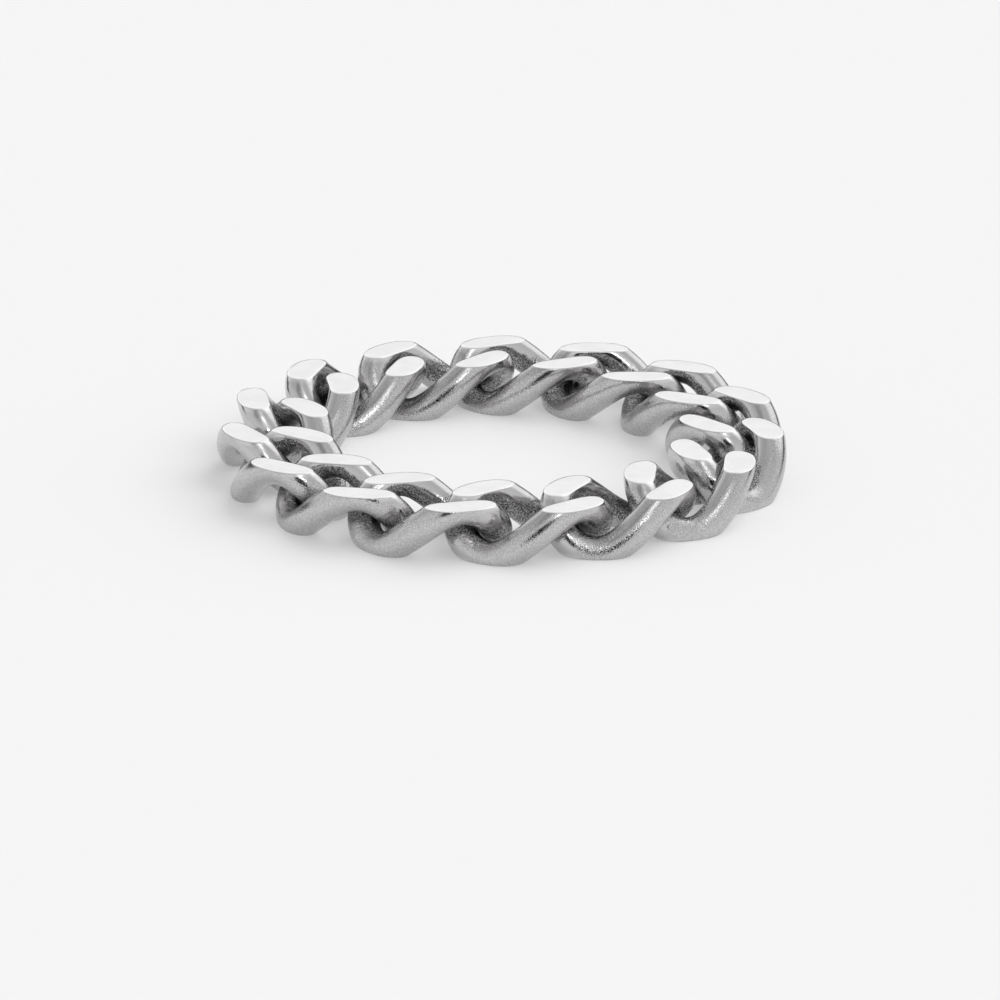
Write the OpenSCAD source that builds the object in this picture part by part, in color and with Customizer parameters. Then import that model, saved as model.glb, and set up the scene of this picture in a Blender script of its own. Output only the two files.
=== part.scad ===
// Curb chain finger ring: a closed loop of separate twisted oval links, ground flat above and below.
// It lies on its side. The axis through the finger's hole is +Z, and z = 0 is the surface it rests on.

/* [Ring] */
// Mean diameter of the loop, along the middle of the chain
loop_d = 22.46; // [22.2:0.02:22.6]
// Height of the chain between its two ground faces
chain_h = 2.66; // [2.5:0.02:2.8]
// Angle of the first link's middle, counted from +X towards +Y
first_angle = -108.2; // [-120:0.1:-96]

/* [Link] */
// Length of a link over its two ends
link_l = 8.16; // [8.12:0.02:8.3]
// Width of a link over its two strands
link_w = 5.8; // [5.6:0.05:6]
// Diameter of the wire
wire_d = 1.56; // [1.4:0.02:1.58]
// Angle that each end is turned by about the chain's run
end_turn = 46; // [45:1:49]

/* [Detail] */
// Sides of the wire
wire_sides = 12; // [8:2:12]
// Sections along one end of a link, from strand to strand
end_sections = 14; // [10:2:14]
// Sections along one straight strand, without its ends
strand_sections = 3; // [2:1:4]

/* [Hidden] */

link_count = 15;
link_step = 360 / link_count;
loop_r = loop_d / 2;
wire_r = wire_d / 2;

// The wire's centre line before it is twisted: two straight strands joined by two half circles
end_r = link_w / 2 - wire_r;
reach = link_l / 2 - wire_r;
strand_half = reach - end_r;

// How far each link has slid along the loop from even spacing, in degrees
slid = [0.2, 0.5, -0.1, 0.1, 0.3, 0, -0.3, 0, -0.3, -0.1, -0.3, -0.1, 0.1, 0.2, 0.5];

// How far the slab that keeps the chain's height reaches past a link on each side
slab_margin = 1;

steel = "silver";

// Point of the flat oval, with s along the chain and w across it. End 1 is at +s and end -1 at -s.
function end_point(end, k) =
  let (turn = -90 + 180 * k / end_sections)
  [end * (strand_half + end_r * cos(turn)), end * end_r * sin(turn)];

function strand_point(side, k) =
  [side * strand_half * (1 - 2 * k / (strand_sections + 1)), side * end_r];

// The oval's points in order: one end, a strand, the other end and the other strand
oval = [
  for (end = [1, -1]) each concat(
    [for (k = [0:end_sections]) end_point(end, k)],
    [for (k = [1:strand_sections]) strand_point(end, k)]
  )
];

// The twist: each point turns about the chain's run, by up to end_turn at the link's ends
function twisted(p) =
  let (turn = end_turn * sin(90 * p[0] / reach))
  [p[1] * cos(turn), p[0], p[1] * sin(turn)];

line = [for (p = oval) twisted(p)];
line_n = len(line);

function unit(v) = v / norm(v);
function run_at(k) = unit(line[(k + 1) % line_n] - line[(k + line_n - 1) % line_n]);

// Direction across the run that points away from the link's middle
function away_at(k) = unit(line[k] - run_at(k) * (line[k] * run_at(k)));

function wire_section(k) =
  let (away = away_at(k), side = cross(run_at(k), away))
  [for (j = [0:wire_sides - 1])
    let (turn = 360 * (j + 0.5) / wire_sides)
    line[k] + wire_r * (cos(turn) * away + sin(turn) * side)];

wire_points = [for (k = [0:line_n - 1]) each wire_section(k)];

function wire_index(k, j) = (k % line_n) * wire_sides + j % wire_sides;

wire_faces = [
  for (k = [0:line_n - 1], j = [0:wire_sides - 1])
    each [
      [wire_index(k, j), wire_index(k + 1, j + 1), wire_index(k, j + 1)],
      [wire_index(k, j), wire_index(k + 1, j), wire_index(k + 1, j + 1)]
    ]
];

// One link round the origin, with the chain's run along Y and +X away from the finger
module wire_loop() {
  polyhedron(points = wire_points, faces = wire_faces, convexity = 6);
}

// The link with its upper and lower faces ground flat, standing on z = 0
module ground_link() {
  translate([0, 0, chain_h / 2])
    intersection() {
      wire_loop();
      cube([link_w + 2 * slab_margin, link_l + 2 * slab_margin, chain_h], center = true);
    }
}

module link(number) {
  color(steel)
    rotate([0, 0, first_angle + link_step * (number - 1) + slid[number - 1]])
      translate([loop_r, 0, 0])
        ground_link();
}

link(1);  // link_01
link(2);  // link_02
link(3);  // link_03
link(4);  // link_04
link(5);  // link_05
link(6);  // link_06
link(7);  // link_07
link(8);  // link_08
link(9);  // link_09
link(10);  // link_10
link(11);  // link_11
link(12);  // link_12
link(13);  // link_13
link(14);  // link_14
link(15);  // link_15
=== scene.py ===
"""Looks of the curb chain finger ring: fifteen ground steel links on a pale floor, in soft studio light."""

import math
from types import SimpleNamespace

import bpy
import numpy as np
from mathutils import Euler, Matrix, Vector
from mathutils.bvhtree import BVHTree


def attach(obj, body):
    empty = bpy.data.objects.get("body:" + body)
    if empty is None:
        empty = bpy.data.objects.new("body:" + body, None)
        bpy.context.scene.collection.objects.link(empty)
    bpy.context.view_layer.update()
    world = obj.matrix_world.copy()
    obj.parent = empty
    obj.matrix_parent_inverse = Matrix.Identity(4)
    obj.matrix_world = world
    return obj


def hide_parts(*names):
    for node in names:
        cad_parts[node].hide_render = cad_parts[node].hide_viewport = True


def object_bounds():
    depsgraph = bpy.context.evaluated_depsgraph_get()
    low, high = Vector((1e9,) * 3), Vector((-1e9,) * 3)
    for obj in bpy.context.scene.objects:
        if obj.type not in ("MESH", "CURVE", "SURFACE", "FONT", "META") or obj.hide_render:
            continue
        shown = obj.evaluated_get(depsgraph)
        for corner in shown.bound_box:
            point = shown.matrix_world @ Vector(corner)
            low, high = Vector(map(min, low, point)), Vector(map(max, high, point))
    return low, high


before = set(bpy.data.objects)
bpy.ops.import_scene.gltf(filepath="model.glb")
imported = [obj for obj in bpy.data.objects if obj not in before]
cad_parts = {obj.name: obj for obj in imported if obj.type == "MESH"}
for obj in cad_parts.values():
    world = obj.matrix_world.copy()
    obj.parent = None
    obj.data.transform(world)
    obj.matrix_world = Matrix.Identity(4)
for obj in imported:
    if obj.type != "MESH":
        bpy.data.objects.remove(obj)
cad_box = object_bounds()

MM = 0.001

# Sizes of a link, in metres
LINK_LENGTH = 8.16 * MM
LINK_WIDTH = 5.8 * MM
WIRE_R = 0.78 * MM
END_TURN = math.radians(46)
CHAIN_H = cad_box[1].z - cad_box[0].z

# The wire's centre line before it is twisted: two straight strands joined by two half circles
END_R = LINK_WIDTH / 2 - WIRE_R
REACH = LINK_LENGTH / 2 - WIRE_R
STRAND_HALF = REACH - END_R

# How closely a link is modelled: sections, and places on a ground flat, on its worn edges and on each side
SECTION_COUNT = 240
FLAT_PLACES = 7
EDGE_PLACES = 11
SIDE_PLACES = 13
# Least half angle round the wire of a flat with its edges, and least share of it without the edges
EDGE_OUT_MIN = math.radians(16)
EDGE_IN_SHARE = 0.4

# Depth over which a ground flat turns into the round wire, and the shallow rounding that buffing left there
ROLL_DEPTH = 0.05 * MM
DUB_WIDTH = 0.24 * MM
DUB_DROP = 0.016 * MM
# How far the unground wire would stand above a flat where its finely spaced edge zone ends
EDGE_DEPTH = 0.38 * MM
# Limits of the wire's slope, as its sine, for the distance inside a flat's edge
SLOPE_SINE = (0.05, 0.999)
# Where, on the way to a link's ends, the sides of its bend come to count as facing out of the link
BEND_TURNS_OUT = (0.7, 0.95)

# Rays from each place of a link that show how open it lies: their number, reach, start and spiral
SKY_RAYS = 40
SKY_REACH = 8 * MM
SKY_START = 0.01 * MM
GOLDEN_ANGLE = math.pi * (3 - math.sqrt(5))
# Any way that isn't along a normal
ASIDE = np.array([0.31, 0.95, 0.05])


def smooth_step(low, high, x):
    t = np.clip((x - low) / (high - low), 0, 1)
    return t * t * (3 - 2 * t)


def unit(v):
    return v / np.linalg.norm(v, axis=-1, keepdims=True)


# Shape of one link, round the origin: x away from the finger, y along the chain, z up
def centre_line():
    """The wire's centre line as evenly spaced points, and how far each is towards the link's ends."""
    strand = 2 * STRAND_HALF
    bend = math.pi * END_R
    d = np.arange(SECTION_COUNT) / SECTION_COUNT * 2 * (strand + bend)
    half = np.where(d < strand + bend, 1.0, -1.0)
    d = np.where(d < strand + bend, d, d - strand - bend)
    turn = np.clip((d - strand) / END_R, 0, math.pi)
    along = np.where(d < strand, d - STRAND_HALF, STRAND_HALF + END_R * np.sin(turn)) * half
    across = END_R * np.cos(turn) * half
    twist = END_TURN * np.sin(math.pi / 2 * along / REACH)
    line = np.stack([across * np.cos(twist), along, across * np.sin(twist)], 1)
    return line, np.abs(along) / REACH


def round_places(depth_to_plane):
    """Angles round a section across one ground flat, from its centre line's depth below the plane."""
    out_cosine = np.clip((depth_to_plane - ROLL_DEPTH) / WIRE_R, -1, 1)
    in_cosine = np.clip((depth_to_plane + EDGE_DEPTH) / WIRE_R, -1, 1)
    out = np.maximum(np.arccos(out_cosine), EDGE_OUT_MIN)[:, None]
    inner = np.maximum(np.arccos(in_cosine)[:, None], out * EDGE_IN_SHARE)
    edge = inner + (out - inner) * np.arange(1, EDGE_PLACES + 1) / EDGE_PLACES
    flat = inner * np.linspace(-1, 1, FLAT_PLACES)
    return np.concatenate([-edge[:, ::-1], flat, edge], 1)


def between(start, end, count):
    """Evenly spaced angles from start to end, without the two themselves."""
    share = np.arange(1, count + 1) / (count + 1)
    return start[:, None] + (end - start)[:, None] * share


def ground_off(z, slope_sine):
    """Heights z of the wire after the cut at the upper plane, with the flat's worn edge.

    Also how far the unground wire stood above the plane at each, and how far inside the flat's edge each
    lies. slope_sine is the sine of the unground wire's slope.
    """
    slope_sine = np.clip(slope_sine, *SLOPE_SINE)
    above = z - CHAIN_H / 2
    near = np.maximum(ROLL_DEPTH - np.abs(above), 0)
    inside = above * np.sqrt(1 - slope_sine ** 2) / slope_sine
    dub = DUB_DROP * (1 - np.clip(inside / DUB_WIDTH, 0, 1)) ** 2 * smooth_step(-WIRE_R, 0, above)
    return np.minimum(z, CHAIN_H / 2) - near ** 2 / (4 * ROLL_DEPTH) - dub, above, inside


def link_surface():
    """Vertices of one link as sections by places round the wire, and what its material reads at each.

    above_mm is how far the unground wire would stand above the nearer plane, and inside_mm how far inside
    a flat's edge. facing goes from -1, out of the link, to 1, towards its middle, and endness from 0 at
    the link's middle to 1 at its ends.
    """
    line, endness = centre_line()
    run = unit(np.roll(line, -1, 0) - np.roll(line, 1, 0))
    up = np.array([0.0, 0.0, 1.0]) - run * run[:, 2:3]
    steep = np.linalg.norm(up, axis=1)
    up = unit(up)
    side = np.cross(run, up)
    top = round_places((CHAIN_H / 2 - line[:, 2]) / steep)
    bottom = math.pi + round_places((CHAIN_H / 2 + line[:, 2]) / steep)
    right = between(top[:, -1], bottom[:, 0], SIDE_PLACES)
    left = between(bottom[:, -1], math.tau + top[:, 0], SIDE_PLACES)
    turn = np.concatenate([top, right, bottom, left], 1)[..., None]
    out = np.cos(turn) * up[:, None] + np.sin(turn) * side[:, None]
    points = line[:, None] + WIRE_R * out
    slope_sine = np.hypot(out[..., 0], out[..., 1])
    upper, above, upper_inside = ground_off(points[..., 2], slope_sine)
    lower, below, lower_inside = ground_off(-upper, slope_sine)
    points[..., 2] = -lower
    away = unit(line - run * np.sum(run * line, 1, keepdims=True))
    bend_side = smooth_step(*BEND_TURNS_OUT, endness)[:, None] * np.abs(out[..., 0])
    facing = -np.maximum(np.sum(out * away[:, None], -1), bend_side)
    shares = {
        "above_mm": np.maximum(above, below) / MM,
        "inside_mm": np.maximum(upper_inside, lower_inside) / MM,
        "facing": facing,
        "endness": np.broadcast_to(endness[:, None], facing.shape),
    }
    return points, shares


def grid_faces(rings, sides):
    """Quads of a closed tube of rings by sides."""
    k, j = np.meshgrid(np.arange(rings), np.arange(sides), indexing="ij")
    a = k * sides + j
    b = k * sides + (j + 1) % sides
    c = (k + 1) % rings * sides + (j + 1) % sides
    d = (k + 1) % rings * sides + j
    return np.stack([a, b, c, d], -1).reshape(-1, 4)


def grid_normals(points):
    """Smooth normals of the closed tube, pointing out of the wire."""
    round_wire = np.roll(points, -1, 1) - np.roll(points, 1, 1)
    along_wire = np.roll(points, -1, 0) - np.roll(points, 1, 0)
    return unit(np.cross(round_wire, along_wire))


def turned(points, angle):
    """Points turned about Z."""
    c = math.cos(angle)
    s = math.sin(angle)
    x = points[..., 0] * c - points[..., 1] * s
    y = points[..., 0] * s + points[..., 1] * c
    return np.stack([x, y, points[..., 2]], -1)


def sky_share(points, normals, faces, loop_r, step):
    """Share of the view from each place that its own link and the two beside it leave open."""
    starts = (points + np.array([loop_r, 0, 0])).reshape(-1, 3)
    ways = normals.reshape(-1, 3)
    corners = np.concatenate([turned(starts, step * n) for n in (-1, 0, 1)])
    quads = np.concatenate([faces + len(starts) * n for n in range(3)])
    tree = BVHTree.FromPolygons(corners.tolist(), quads.tolist())
    across = unit(np.cross(ways, ASIDE))
    upward = np.cross(ways, across)
    hits = np.zeros(len(starts))
    starts = starts + ways * SKY_START
    for i in range(SKY_RAYS):
        wide = math.sqrt((i + 0.5) / SKY_RAYS)
        turn = i * GOLDEN_ANGLE
        sideways = across * wide * math.cos(turn) + upward * wide * math.sin(turn)
        rays = sideways + ways * math.sqrt(1 - wide * wide)
        for k, (start, ray) in enumerate(zip(starts.tolist(), rays.tolist())):
            if tree.ray_cast(start, ray, SKY_REACH)[0] is not None:
                hits[k] += 1
    share = (1 - hits / SKY_RAYS).reshape(points.shape[:2])
    # Each place takes half of its share from its neighbours
    for axis in (0, 1):
        share = (np.roll(share, 1, axis) + 2 * share + np.roll(share, -1, axis)) / 4
    return share


def link_middle(name):
    """Angle and distance from the axis of a packed link's middle, which its symmetry puts at its mean vertex.

    The third value is the height of its lowest point.
    """
    corners = np.array([v.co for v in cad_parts[name].data.vertices])
    mean = corners.mean(0)
    return math.atan2(mean[1], mean[0]), math.hypot(mean[0], mean[1]), corners[:, 2].min()


def set_attribute(mesh, name, values):
    attribute = mesh.attributes.new(name, "FLOAT", "POINT")
    attribute.data.foreach_set("value", np.asarray(values, np.float32).ravel())


def make_link(name, points, faces, shares, material):
    """One link in its place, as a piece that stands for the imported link."""
    angle, distance, floor_z = link_middle(name)
    placed = turned(points.reshape(-1, 3) + np.array([distance, 0, 0]), angle)
    placed[:, 2] += floor_z + CHAIN_H / 2
    mesh = bpy.data.meshes.new("steel_" + name)
    mesh.from_pydata(placed.tolist(), [], faces.tolist())
    mesh.polygons.foreach_set("use_smooth", [True] * len(mesh.polygons))
    for share, values in shares.items():
        set_attribute(mesh, share, values)
    mesh.materials.append(material)
    piece = bpy.data.objects.new("steel_" + name, mesh)
    bpy.context.scene.collection.objects.link(piece)
    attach(piece, "root")
    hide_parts(name)


class Nodes:
    """Adds nodes to a tree and hands on their outputs, so that a surface is worked out step by step."""

    def __init__(self, tree):
        self.tree = tree

    def add(self, kind, **settings):
        node = self.tree.nodes.new(kind)
        for name, value in settings.items():
            setattr(node, name, value)
        return node

    def feed(self, socket, value):
        """Links value into socket if it is an output, and otherwise sets it there."""
        if isinstance(value, bpy.types.NodeSocket):
            self.tree.links.new(value, socket)
        else:
            socket.default_value = value

    def feed_all(self, sockets, values):
        for socket, value in zip(sockets, values):
            self.feed(socket, value)

    def calc(self, operation, a, b):
        node = self.add("ShaderNodeMath", operation=operation)
        self.feed_all(node.inputs, (a, b))
        return node.outputs[0]

    def times(self, a, b):
        return self.calc("MULTIPLY", a, b)

    def plus(self, a, b):
        return self.calc("ADD", a, b)

    def minus(self, a, b):
        return self.calc("SUBTRACT", a, b)

    def ramp(self, value, span, ends=(0.0, 1.0)):
        """The first of ends where value is before span, the second after it, and a smooth change between."""
        node = self.add("ShaderNodeMapRange", interpolation_type="SMOOTHSTEP")
        sockets = [node.inputs[n] for n in ("Value", "From Min", "From Max", "To Min", "To Max")]
        self.feed_all(sockets, (value, *span, *ends))
        return node.outputs["Result"]

    def blend(self, share, a, b):
        """Value a where share is 0 and b where it is 1."""
        node = self.add("ShaderNodeMix", data_type="FLOAT")
        self.feed_all([node.inputs[n] for n in (0, 2, 3)], (share, a, b))
        return node.outputs[0]

    def noise(self, place, size, detail, roughness):
        """Noise whose spots are about size across, in metres."""
        node = self.add("ShaderNodeTexNoise")
        sockets = [node.inputs[n] for n in ("Vector", "Scale", "Detail", "Roughness")]
        self.feed_all(sockets, (place, 1 / size, detail, roughness))
        return node.outputs[0]

    def colour(self, parts):
        node = self.add("ShaderNodeCombineColor")
        self.feed_all(node.inputs, parts)
        return node.outputs[0]

    def split(self, vector):
        """X, Y and Z of a vector."""
        node = self.add("ShaderNodeSeparateXYZ")
        self.feed(node.inputs[0], vector)
        return node.outputs


# What the steel reads from its mesh, and its noises: the size of their spots in metres, detail and roughness
SHARES = ("above_mm", "inside_mm", "facing", "endness", "sky")
NOISES = {
    "grain": (0.08 * MM, 1.0, 0.5),
    "specks": (0.06 * MM, 1.0, 0.5),
    "pits": (0.068 * MM, 2.0, 0.6),
    "folds": (0.26 * MM, 2.0, 0.5),
    "waves": (0.5 * MM, 2.0, 0.5),
    "lumps": (0.6 * MM, 1.0, 0.5),
    "clouds": (1.3 * MM, 2.0, 0.5),
}

# In what follows, a pair is where a change begins and ends, or what it leads from and to

# How open a place lies: more than its share of sky where it faces outwards, and less in its link's hollow
OUTWARD_FACING = (0.0, -0.8)
OUTWARD_GAIN = 0.16
HOLLOW_FACING = (-0.1, 0.3)
HOLLOW_ABOVE_MM = (-0.6, -0.9)
HOLLOW_LOSS = 0.14

# Where the bends lie, which of them are low, and how much less open those are taken for the coarse metal.
# Heights are from the floor
BEND_ENDNESS = (0.7, 0.9)
LOW_HEIGHT = (0.62 * CHAIN_H, 0.4 * CHAIN_H)
LOW_BEND_LOSS = 0.15

# Where each finish lies, and how ragged the edge of the coarse metal is
GROUND_ABOVE_MM = (-0.03, 0.03)
COARSE_OPENNESS = (0.54, 0.49)
COARSE_RAGGED = 0.7
NOISE_MIDDLE = 0.5
ROUNDED_ENDNESS = (0.7, 0.85)
ROUNDED_CLOUDS = (0.45, 0.55)
RIM_FACING = (-0.35, 0.1)
RIM_ABOVE_MM = (-1.0, -0.6)
RUN_OUT_ABOVE_MM = (-0.26, -0.04)
WORN_HEIGHT = (0.6 * CHAIN_H, 0.88 * CHAIN_H)

# Tones of the steel, how its noises vary them, and the painted shade that darkens them where a place lies
# less open
TINT = (1.0, 0.985, 0.99)
SATIN_TONE = (0.52, 0.59)
SATIN_SPECKS = (0.3, 0.7)
SATIN_SHADE = (0.82, 1.13)
BUFFED_TONE = 0.57
COARSE_TONE_PITS = (0.43, 0.57)
COARSE_TONE = (0.14, 0.75)
RUN_OUT_TONE = 0.73
# Painted shade in the link's hollows and where links meet: the tone falls to the first shade where openness
# is at the first value, and is left alone from the second
PAINTED_SHADE_OPENNESS = (0.1, 0.42)
PAINTED_SHADE = (0.15, 1.0)
FLAT_RIM_MM = (0.06, 0.16)
FLAT_TONE = (0.84, 0.96)
FLAT_GRAIN = (0.3, 0.7)
FLAT_GRAIN_SHADE = (0.98, 1.01)
FLAT_CLOUDS = (0.4, 0.6)
FLAT_CLOUD_SHADE = (0.97, 1.01)

# Roughness of each finish, and what makes it change
SATIN_GLOSS_SPECKS = (0.46, 0.56)
SATIN_ROUGHNESS = (0.28, 0.07)
WORN_ENDNESS = (0.35, 0.65)
WORN_ROUGHNESS = (0.2, 0.15)
BUFFED_ROUGHNESS = 0.15
COARSE_GLOSS_PITS = (0.46, 0.58)
COARSE_ROUGHNESS = (0.34, 0.18)
RUN_OUT_ROUGHNESS = 0.1
FLAT_ROUGHNESS = (0.1, 0.42)

# Relief of each finish in millimetres, and where it changes
GRAIN_ENDNESS = (0.3, 0.65)
GRAIN_RELIEF = (0.012, 0.03)
WORN_RELIEF_SHARE = 0.35
BUFFED_RELIEF = 0.004
PIT_RELIEF = 0.05
FOLD_RELIEF = 0.09
LUMP_SKY = (0.9, 0.5)
LUMP_RELIEF = (0.004, 0.03)
WAVE_RELIEF = 0.0015


def steel_places(nodes):
    """What the steel's finishes go by at each place: its shares, its height and its noises."""
    place = nodes.add("ShaderNodeTexCoord").outputs["Object"]
    at = SimpleNamespace(height=nodes.split(place)[2])
    for name in SHARES:
        setattr(at, name, nodes.add("ShaderNodeAttribute", attribute_name=name).outputs["Fac"])
    for name, (size, detail, roughness) in NOISES.items():
        setattr(at, name, nodes.noise(place, size, detail, roughness))
    return at


def steel_finishes(nodes, at):
    """How open each place lies, and how far it has each finish.

    They are the ground flats, the coarse recesses, the buffed inner rims and ends, the smooth metal where a
    flat runs out on a bend, and the worn upper sides. What is left is satin.
    """
    openness = nodes.plus(at.sky, nodes.ramp(at.facing, OUTWARD_FACING, (0.0, OUTWARD_GAIN)))
    hollow = nodes.times(nodes.ramp(at.facing, HOLLOW_FACING), nodes.ramp(at.above_mm, HOLLOW_ABOVE_MM))
    openness = nodes.minus(openness, nodes.times(hollow, HOLLOW_LOSS))
    bend = nodes.ramp(at.endness, BEND_ENDNESS)
    low_bend = nodes.times(nodes.ramp(at.height, LOW_HEIGHT), bend)

    ground = nodes.ramp(at.above_mm, GROUND_ABOVE_MM)
    unground = nodes.minus(1.0, ground)
    ragged = nodes.plus(openness, nodes.times(nodes.minus(at.pits, NOISE_MIDDLE), COARSE_RAGGED))
    ragged = nodes.minus(ragged, nodes.times(low_bend, LOW_BEND_LOSS))
    coarse = nodes.times(nodes.ramp(ragged, COARSE_OPENNESS), unground)
    end = nodes.times(nodes.ramp(at.endness, ROUNDED_ENDNESS), nodes.ramp(at.clouds, ROUNDED_CLOUDS))
    rim = nodes.times(nodes.ramp(at.facing, RIM_FACING), nodes.ramp(at.above_mm, RIM_ABOVE_MM))
    return SimpleNamespace(
        openness=openness,
        ground=ground,
        unground=unground,
        coarse=coarse,
        buffed=nodes.calc("MAXIMUM", rim, end),
        run_out=nodes.times(nodes.ramp(at.above_mm, RUN_OUT_ABOVE_MM), bend),
        worn=nodes.ramp(at.height, WORN_HEIGHT),
    )


def steel_colour(nodes, at, finish):
    tone = nodes.times(nodes.blend(at.clouds, *SATIN_TONE), nodes.ramp(at.specks, SATIN_SPECKS, SATIN_SHADE))
    tone = nodes.blend(finish.buffed, tone, BUFFED_TONE)
    tone = nodes.blend(finish.coarse, tone, nodes.ramp(at.pits, COARSE_TONE_PITS, COARSE_TONE))
    tone = nodes.blend(finish.run_out, tone, RUN_OUT_TONE)
    # Painted shade: the tone darkens where a place lies less open, in the link's hollows and where links meet
    tone = nodes.times(tone, nodes.ramp(finish.openness, PAINTED_SHADE_OPENNESS, PAINTED_SHADE))
    flat = nodes.ramp(at.inside_mm, FLAT_RIM_MM, FLAT_TONE)
    flat = nodes.times(flat, nodes.ramp(at.grain, FLAT_GRAIN, FLAT_GRAIN_SHADE))
    flat = nodes.times(flat, nodes.ramp(at.clouds, FLAT_CLOUDS, FLAT_CLOUD_SHADE))
    tone = nodes.blend(finish.ground, tone, flat)
    return nodes.colour([nodes.times(tone, nodes.blend(finish.ground, tint, 1.0)) for tint in TINT])


def steel_roughness(nodes, at, finish):
    rough = nodes.ramp(at.specks, SATIN_GLOSS_SPECKS, SATIN_ROUGHNESS)
    rough = nodes.blend(finish.worn, rough, nodes.ramp(at.endness, WORN_ENDNESS, WORN_ROUGHNESS))
    rough = nodes.blend(finish.buffed, rough, BUFFED_ROUGHNESS)
    rough = nodes.blend(finish.coarse, rough, nodes.ramp(at.pits, COARSE_GLOSS_PITS, COARSE_ROUGHNESS))
    rough = nodes.blend(finish.run_out, rough, RUN_OUT_ROUGHNESS)
    return nodes.blend(finish.ground, rough, nodes.ramp(at.inside_mm, FLAT_RIM_MM, FLAT_ROUGHNESS))


def steel_relief(nodes, at, finish):
    depth = nodes.ramp(at.endness, GRAIN_ENDNESS, GRAIN_RELIEF)
    depth = nodes.times(depth, nodes.blend(finish.worn, 1.0, WORN_RELIEF_SHARE))
    satin = nodes.times(at.grain, nodes.blend(finish.buffed, depth, BUFFED_RELIEF))
    coarse = nodes.plus(nodes.times(at.pits, PIT_RELIEF), nodes.times(at.folds, FOLD_RELIEF))
    lumps = nodes.times(at.lumps, nodes.ramp(at.sky, LUMP_SKY, LUMP_RELIEF))
    relief = nodes.plus(nodes.blend(finish.coarse, satin, coarse), lumps)
    return nodes.plus(nodes.times(relief, finish.unground), nodes.times(at.waves, WAVE_RELIEF))


def steel():
    """The ring's metal, with a different finish on its flats, rims, sides and recesses, and painted shade
    where it lies less open.
    """
    material = bpy.data.materials.new("steel")
    material.use_nodes = True
    nodes = Nodes(material.node_tree)
    shader = material.node_tree.nodes["Principled BSDF"]
    at = steel_places(nodes)
    finish = steel_finishes(nodes, at)
    bump = nodes.add("ShaderNodeBump")
    nodes.feed(bump.inputs["Strength"], 1.0)
    nodes.feed(bump.inputs["Distance"], MM)
    nodes.feed(bump.inputs["Height"], steel_relief(nodes, at, finish))
    nodes.feed(shader.inputs["Base Color"], steel_colour(nodes, at, finish))
    nodes.feed(shader.inputs["Metallic"], 1.0)
    nodes.feed(shader.inputs["Roughness"], steel_roughness(nodes, at, finish))
    nodes.feed(shader.inputs["Normal"], bump.outputs[0])
    return material


def make_links():
    names = sorted(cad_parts)
    points, shares = link_surface()
    faces = grid_faces(*points.shape[:2])
    normals = grid_normals(points)
    shares["sky"] = sky_share(points, normals, faces, link_middle(names[0])[1], math.tau / len(names))
    material = steel()
    for name in names:
        make_link(name, points, faces, shares, material)


# Floor, light and camera
def direction(azimuth, elevation):
    """Unit vector towards azimuth, 0 on the camera's side and positive to its right, and elevation."""
    a = math.radians(azimuth)
    e = math.radians(elevation)
    return Vector((math.sin(a) * math.cos(e), -math.cos(a) * math.cos(e), math.sin(e)))


FLOOR_HALF = 1.5
FLOOR_TONE = 0.43
FLOOR_GLOW = 0.34


def make_floor():
    corners = [(x * FLOOR_HALF, y * FLOOR_HALF, 0) for x, y in ((-1, -1), (1, -1), (1, 1), (-1, 1))]
    mesh = bpy.data.meshes.new("floor")
    mesh.from_pydata(corners, [], [(0, 1, 2, 3)])
    material = bpy.data.materials.new("floor")
    material.use_nodes = True
    shader = material.node_tree.nodes["Principled BSDF"]
    shader.inputs["Base Color"].default_value = (FLOOR_TONE, FLOOR_TONE, FLOOR_TONE, 1)
    shader.inputs["Roughness"].default_value = 1.0
    shader.inputs["Specular IOR Level"].default_value = 0.0
    shader.inputs["Emission Color"].default_value = (1, 1, 1, 1)
    shader.inputs["Emission Strength"].default_value = FLOOR_GLOW
    mesh.materials.append(material)
    floor = bpy.data.objects.new("floor", mesh)
    bpy.context.scene.collection.objects.link(floor)


# The light tent's radiance low down and overhead, and the span of a direction's Z over which it changes
TENT_BASE = 0.84
TENT_TOP = 0.66
TENT_RISE = (0.3, 1.0)
# The dark gap low at the tent's back: its radiance, and the spans of a direction's Z and Y over which it
# ends upwards and starts backwards
GAP_LIGHT = 0.03
GAP_RISE = (0.205, 0.17)
GAP_BACK = (0.1, 0.5)
# Patches of the tent: azimuth, elevation, inner and outer radius in degrees, and radiance added
PATCHES = {
    "camera_opening": (-2, 16, 14, 18, -0.84),
    "lamp_over_camera": (13, 38, 3, 5, 7.5),
    "lamp_high": (14, 61, 4, 10, 1.1),
    "panel_over_camera": (8, 60, 10, 24, 0.3),
    "panel_behind": (184, 22, 10, 30, 0.24),
    "panel_behind_right": (136, 42, 10, 32, 0.6),
    "gap_on_left": (250, 46, 8, 28, -0.15),
    "gap_over_left": (320, 60, 6, 24, -0.3),
}


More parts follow.
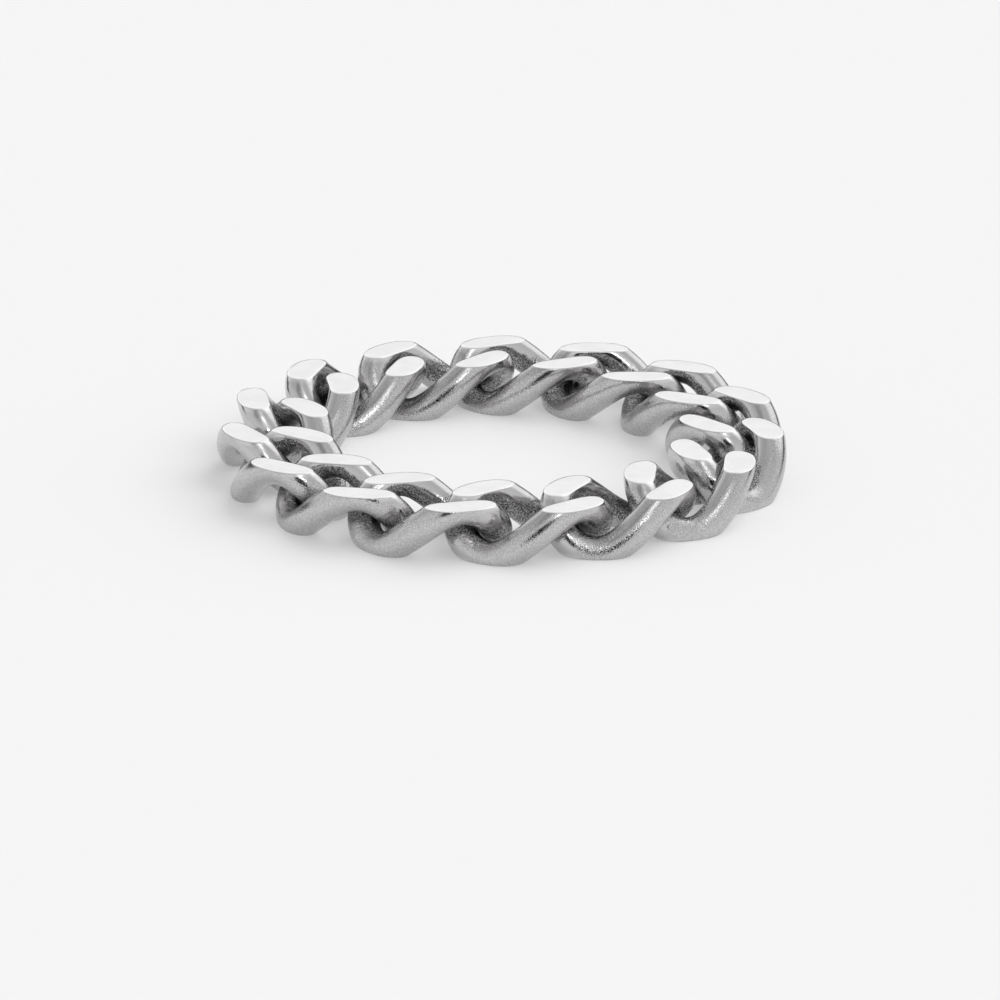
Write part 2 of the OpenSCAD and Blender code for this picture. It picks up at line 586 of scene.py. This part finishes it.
def make_tent():
    """The tent that the metal mirrors and that lights the floor, as the world's background."""
    world = bpy.data.worlds.new("tent")
    bpy.context.scene.world = world
    world.use_nodes = True
    nodes = Nodes(world.node_tree)
    shader = world.node_tree.nodes["Background"]
    way = nodes.add("ShaderNodeTexCoord").outputs["Generated"]
    _, back, up = nodes.split(way)
    light = nodes.ramp(up, TENT_RISE, (TENT_BASE, TENT_TOP))
    for azimuth, elevation, inner, outer, radiance in PATCHES.values():
        dot = nodes.add("ShaderNodeVectorMath", operation="DOT_PRODUCT")
        nodes.feed_all(dot.inputs, (way, direction(azimuth, elevation)))
        edge = (math.cos(math.radians(outer)), math.cos(math.radians(inner)))
        light = nodes.plus(light, nodes.ramp(dot.outputs["Value"], edge, (0.0, radiance)))
    gap = nodes.times(nodes.ramp(up, GAP_RISE), nodes.ramp(back, GAP_BACK))
    light = nodes.blend(gap, light, GAP_LIGHT)
    nodes.feed(shader.inputs["Color"], nodes.colour((light, light, light)))
    nodes.feed(shader.inputs["Strength"], 1.0)


# Soft light on the floor alone, from behind on the right: azimuth and elevation, width and strength
SIDE_LIGHT = (112, 42)
SIDE_LIGHT_WIDTH = math.radians(76)
SIDE_LIGHT_STRENGTH = 2.5


def make_side_light():
    """The light that draws the ring's shadow forward and to the left, hidden from the metal's reflections."""
    data = bpy.data.lights.new("side_light", "SUN")
    data.energy = SIDE_LIGHT_STRENGTH
    data.angle = SIDE_LIGHT_WIDTH
    light = bpy.data.objects.new("side_light", data)
    bpy.context.scene.collection.objects.link(light)
    light.rotation_mode = "QUATERNION"
    light.rotation_quaternion = direction(*SIDE_LIGHT).to_track_quat("Z", "Y")
    light.visible_glossy = False


# The photo's view: the camera's place seen from the middle of the ring's top, and where that point shows
CAMERA_ELEVATION = 18.54
CAMERA_DISTANCE = 358.4 * MM
CAMERA_ROLL = 0.48
IMAGE_SIZE = 1000
FOCAL_PX = 7268.8
TARGET_PX = (503.13, 421.38)
SENSOR = 36.0
CLIP_START = 0.01
CLIP_END = 10


def make_camera():
    target = Vector((0, 0, cad_box[1].z))
    place = target + direction(0, CAMERA_ELEVATION) * CAMERA_DISTANCE
    roll = math.radians(CAMERA_ROLL)
    x = TARGET_PX[0] - IMAGE_SIZE / 2
    y = TARGET_PX[1] - IMAGE_SIZE / 2
    level_x = math.cos(roll) * x + math.sin(roll) * y
    level_y = math.cos(roll) * y - math.sin(roll) * x
    aim = (target - place).to_track_quat("-Z", "Y")
    turn = Euler((math.atan(level_y / FOCAL_PX), math.atan(level_x / FOCAL_PX), 0), "XYZ").to_quaternion()
    tilt = Euler((0, 0, roll), "XYZ").to_quaternion()
    data = bpy.data.cameras.new("camera")
    data.sensor_width = SENSOR
    data.lens = SENSOR * FOCAL_PX / IMAGE_SIZE
    data.clip_start = CLIP_START
    data.clip_end = CLIP_END
    camera = bpy.data.objects.new("camera", data)
    bpy.context.scene.collection.objects.link(camera)
    camera.location = place
    camera.rotation_mode = "QUATERNION"
    camera.rotation_quaternion = aim @ turn @ tilt
    bpy.context.scene.camera = camera


make_links()
make_floor()
make_tent()
make_side_light()
make_camera()
bpy.context.scene.view_settings.view_transform = "Standard"
